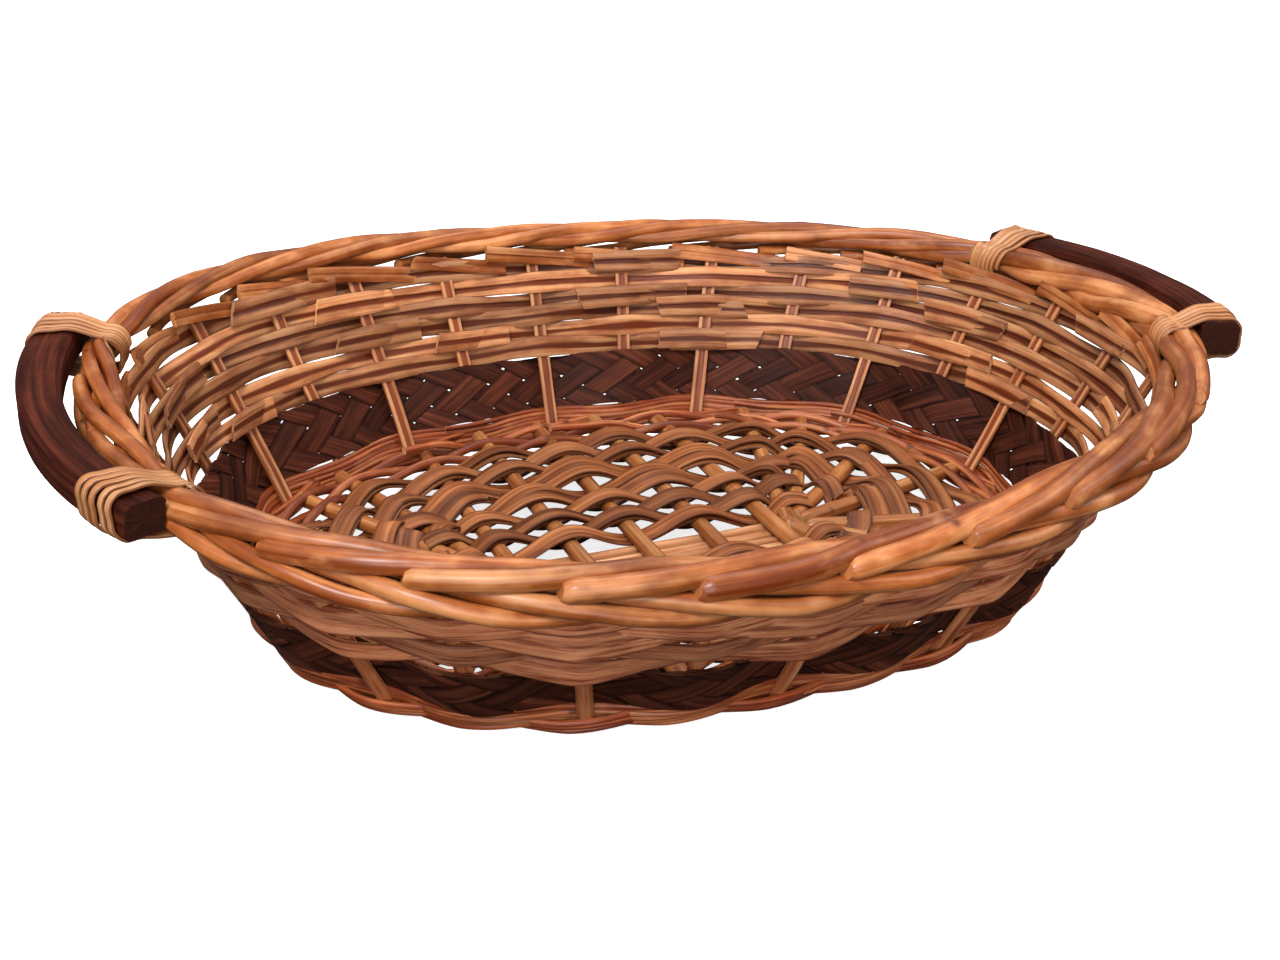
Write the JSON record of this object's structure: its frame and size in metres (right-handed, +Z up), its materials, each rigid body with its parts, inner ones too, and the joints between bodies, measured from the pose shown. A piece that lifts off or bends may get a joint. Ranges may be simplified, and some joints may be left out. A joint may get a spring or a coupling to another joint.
{
  "type": "oval wicker basket",
  "caption": "Shallow oval woven willow basket with a plaited dark band, a rope-like border and two lashed dark wooden bar handles.",
  "frame": {"origin": "middle of the basket on the plane it stands on", "axes": "+X along the length through the two handles, +Y across the width, +Z up"},
  "size_m": [0.499, 0.3603, 0.1081],
  "materials": {
    "split_willow_stake": "split willow, semi-matt",
    "willow_rod": "glossy whole willow",
    "split_willow": "split willow, semi-matt",
    "dark_plait": "dark stained plait, semi-matt",
    "thin_willow": "glossy thin willow",
    "base_stick": "glossy honey willow",
    "pale_willow": "pale willow, semi-matt",
    "base_strip": "brown flat strip, semi-matt",
    "handle_wood": "dark stained wood, satin",
    "cane": "flat cane, semi-gloss"
  },
  "bodies": {
    "root": {"stake_01": "split_willow_stake", "stake_02": "split_willow_stake", "stake_03": "split_willow_stake", "stake_04": "split_willow_stake", "stake_05": "split_willow_stake", "stake_06": "split_willow_stake", "stake_07": "split_willow_stake", "stake_08": "split_willow_stake", "stake_09": "split_willow_stake", "stake_10": "split_willow_stake", "stake_11": "split_willow_stake", "stake_12": "split_willow_stake", "stake_13": "split_willow_stake", "stake_14": "split_willow_stake", "stake_15": "split_willow_stake", "stake_16": "split_willow_stake", "stake_17": "split_willow_stake", "stake_18": "split_willow_stake", "stake_19": "split_willow_stake", "stake_20": "split_willow_stake", "stake_21": "split_willow_stake", "stake_22": "split_willow_stake", "stake_23": "split_willow_stake", "stake_24": "split_willow_stake", "stake_25": "split_willow_stake", "stake_26": "split_willow_stake", "border_rods_back": "willow_rod", "border_rods_front": "willow_rod", "weaver_row_1": "split_willow", "weaver_row_2": "split_willow", "weaver_row_3": "split_willow", "weaver_row_4": "split_willow", "weaver_row_5": "split_willow", "weaver_row_6": "split_willow", "plaited_band": "dark_plait", "foot_rod_1": "thin_willow", "foot_rod_2": "thin_willow", "foot_rod_3": "thin_willow", "cross_sticks": "base_stick", "corner_sticks": "base_stick", "fan_sticks_right": "base_stick", "fan_sticks_left": "base_stick", "slath_rods": "pale_willow", "base_round_1": "base_strip", "base_round_2": "base_strip", "base_round_3": "base_strip", "base_round_4": "base_strip", "base_round_5": "base_strip", "base_round_6": "base_strip", "base_packing_far": "base_strip", "base_packing_near": "base_strip", "base_wale": "thin_willow", "handle_right": "handle_wood", "lashing_right_back": "cane", "lashing_right_front": "cane", "handle_left": "handle_wood", "lashing_left_back": "cane", "lashing_left_front": "cane"}
  },
  "joints": []
}
